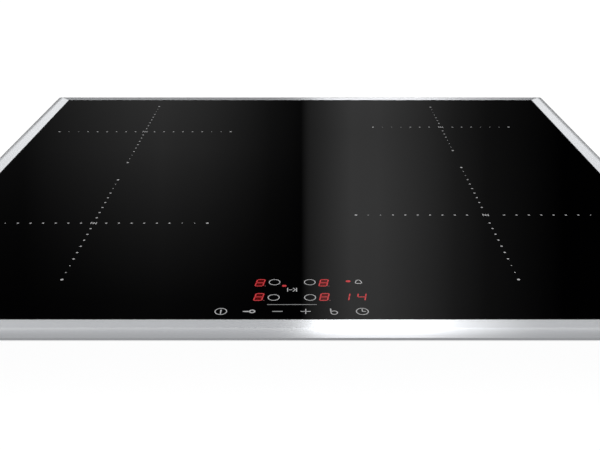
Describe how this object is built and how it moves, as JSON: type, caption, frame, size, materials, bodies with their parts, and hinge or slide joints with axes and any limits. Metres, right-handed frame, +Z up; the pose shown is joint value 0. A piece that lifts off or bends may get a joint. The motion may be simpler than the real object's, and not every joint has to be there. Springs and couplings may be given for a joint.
{
  "type": "induction hob",
  "caption": "Built-in electric induction hob: black glass ceramic top in steel side, front and rear trims over a stepped sheet tray with coils, boards, blowers and fixing clamps.",
  "frame": {"origin": "middle of the tray's underside, at the bottom of the hob", "axes": "+Z up through the glass, +Y towards the wall behind the hob, the cook stands at -Y, +X to the cook's right"},
  "size_m": [0.583, 0.513, 0.051],
  "materials": {
    "black_glass": "polished black glass ceramic",
    "brushed_trim": "brushed stainless steel",
    "black_silicone": "matt black silicone",
    "grey_foam": "closed-cell foam tape",
    "galvanised_sheet": "galvanised steel sheet",
    "zinc_steel": "zinc-plated steel",
    "aluminium_sheet": "mill-finish aluminium",
    "copper_litz": "enamelled copper litz",
    "carrier_plastic": "glass-filled black plastic",
    "ferrite": "sintered ferrite",
    "mica": "mica sheet",
    "green_board": "solder-masked board",
    "component_mix": "moulded component cases",
    "display_plastic": "dark display blocks",
    "key_foam": "conductive foam",
    "black_plastic": "moulded black plastic",
    "white_plastic": "moulded off-white plastic",
    "sensor_cap": "silicone sensor caps",
    "wire_sleeve": "silicone wire sleeve"
  },
  "bodies": {
    "hob": {"base_tray": "galvanised_sheet", "blower_housing_left": "black_plastic", "blower_housing_right": "black_plastic", "board_standoffs": "white_plastic", "cable_bush": "black_plastic", "case_screws": "zinc_steel", "clamp_nuts": "zinc_steel", "clamp_screws": "zinc_steel", "coil_plate_left": "aluminium_sheet", "coil_plate_right": "aluminium_sheet", "coil_springs_front_left": "zinc_steel", "coil_springs_front_right": "zinc_steel", "coil_springs_rear_left": "zinc_steel", "coil_springs_rear_right": "zinc_steel", "display_blocks": "display_plastic", "filter_board": "green_board", "filter_board_parts": "component_mix", "glass_ceramic_top": "black_glass", "glass_seal": "black_silicone", "heat_sink_left": "aluminium_sheet", "heat_sink_right": "aluminium_sheet", "leads": "wire_sleeve", "mica_discs": "mica", "plate_posts": "aluminium_sheet", "power_board_left": "green_board", "power_board_parts_left": "component_mix", "power_board_parts_right": "component_mix", "power_board_right": "green_board", "terminal_block": "white_plastic", "terminal_hinge": "zinc_steel", "terminal_housing": "black_plastic", "touch_board": "green_board", "touch_board_carrier": "black_plastic", "touch_key_pads": "key_foam", "trim_front": "brushed_trim", "trim_left": "brushed_trim", "trim_rear": "brushed_trim", "trim_right": "brushed_trim", "worktop_gasket": "grey_foam", "zone_sensors": "sensor_cap"},
    "coil_unit_front_left": {"winding_front_left": "copper_litz", "coil_carrier_front_left": "carrier_plastic", "ferrite_bars_front_left": "ferrite"},
    "coil_unit_front_right": {"winding_front_right": "copper_litz", "coil_carrier_front_right": "carrier_plastic", "ferrite_bars_front_right": "ferrite"},
    "coil_unit_rear_left": {"winding_rear_left": "copper_litz", "coil_carrier_rear_left": "carrier_plastic", "ferrite_bars_rear_left": "ferrite"},
    "coil_unit_rear_right": {"winding_rear_right": "copper_litz", "coil_carrier_rear_right": "carrier_plastic", "ferrite_bars_rear_right": "ferrite"},
    "wheel_left": {"blower_wheel_left": "black_plastic"},
    "wheel_right": {"blower_wheel_right": "black_plastic"},
    "terminal_flap": {"terminal_cover": "black_plastic"},
    "clamp_arm_front_left": {"clamp_front_left": "zinc_steel"},
    "clamp_arm_front_right": {"clamp_front_right": "zinc_steel"},
    "clamp_arm_rear_left": {"clamp_rear_left": "zinc_steel"},
    "clamp_arm_rear_right": {"clamp_rear_right": "zinc_steel"}
  },
  "joints": [
    {"name": "coil_float_front_left", "type": "slide", "parent": "hob", "child": "coil_unit_front_left", "axis": [0, 0, 1], "range_m": [-0.002, 0], "stiffness_N_per_m": 2600, "springref_m": 0.008, "deforming": ["coil_springs_front_left"]},
    {"name": "coil_float_front_right", "type": "slide", "parent": "hob", "child": "coil_unit_front_right", "axis": [0, 0, 1], "range_m": [-0.002, 0], "stiffness_N_per_m": 2600, "springref_m": 0.008, "deforming": ["coil_springs_front_right"]},
    {"name": "coil_float_rear_left", "type": "slide", "parent": "hob", "child": "coil_unit_rear_left", "axis": [0, 0, 1], "range_m": [-0.002, 0], "stiffness_N_per_m": 2600, "springref_m": 0.008, "deforming": ["coil_springs_rear_left"]},
    {"name": "coil_float_rear_right", "type": "slide", "parent": "hob", "child": "coil_unit_rear_right", "axis": [0, 0, 1], "range_m": [-0.002, 0], "stiffness_N_per_m": 2600, "springref_m": 0.008, "deforming": ["coil_springs_rear_right"]},
    {"name": "blower_spin_left", "type": "hinge", "parent": "hob", "child": "wheel_left", "pos_m": [-0.163, 0.11, 0.01], "axis": [0, 0, 1], "continuous": true},
    {"name": "blower_spin_right", "type": "hinge", "parent": "hob", "child": "wheel_right", "pos_m": [0.1505, 0.11, 0.01], "axis": [0, 0, 1], "continuous": true},
    {"name": "terminal_cover_hinge", "type": "hinge", "parent": "hob", "child": "terminal_flap", "pos_m": [-0.014, 0.2445, 0.0372], "axis": [1, 0, 0], "range_deg": [0, 85]},
    {"name": "clamp_swivel_front_left", "type": "hinge", "parent": "hob", "child": "clamp_arm_front_left", "pos_m": [-0.269, -0.164, 0.007], "axis": [0, 0, 1], "range_deg": [0, 90]},
    {"name": "clamp_swivel_front_right", "type": "hinge", "parent": "hob", "child": "clamp_arm_front_right", "pos_m": [0.269, -0.164, 0.007], "axis": [0, 0, -1], "range_deg": [0, 90]},
    {"name": "clamp_swivel_rear_left", "type": "hinge", "parent": "hob", "child": "clamp_arm_rear_left", "pos_m": [-0.269, 0.164, 0.007], "axis": [0, 0, -1], "range_deg": [0, 90]},
    {"name": "clamp_swivel_rear_right", "type": "hinge", "parent": "hob", "child": "clamp_arm_rear_right", "pos_m": [0.269, 0.164, 0.007], "axis": [0, 0, 1], "range_deg": [0, 90]}
  ]
}
